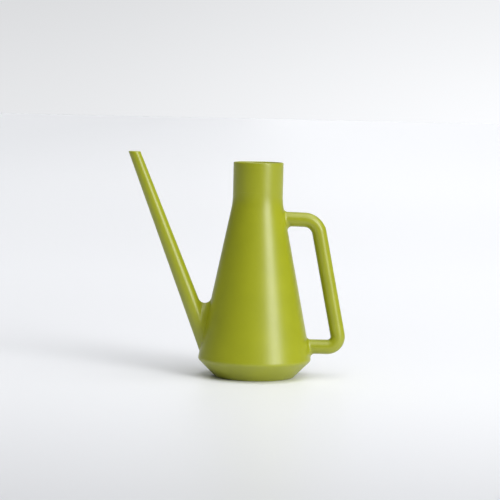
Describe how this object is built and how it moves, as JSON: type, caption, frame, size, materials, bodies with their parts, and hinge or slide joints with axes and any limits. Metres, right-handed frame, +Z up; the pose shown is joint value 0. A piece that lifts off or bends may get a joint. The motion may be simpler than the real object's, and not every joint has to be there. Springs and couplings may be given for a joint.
{
  "type": "watering can",
  "caption": "Conical watering can on an inverted bowl, with an open cylindrical neck, a long straight tapered spout and a bent tube handle.",
  "frame": {"origin": "centre of the flat underside, on the floor, under the mouth's axis", "axes": "+Z up along the can's axis, -X towards the spout, +X towards the handle, +Y square to the plane that holds spout and handle"},
  "size_m": [0.2761, 0.1416, 0.28],
  "materials": {
    "lime_plastic": "satin moulded plastic, lime green through and through"
  },
  "bodies": {
    "root": {"neck_collar": "lime_plastic", "body_cone": "lime_plastic", "base_bowl": "lime_plastic", "base_disc": "lime_plastic", "spout_root": "lime_plastic", "spout_tube": "lime_plastic", "handle_upper_root": "lime_plastic", "handle_lower_root": "lime_plastic", "handle_tube": "lime_plastic"}
  },
  "joints": []
}
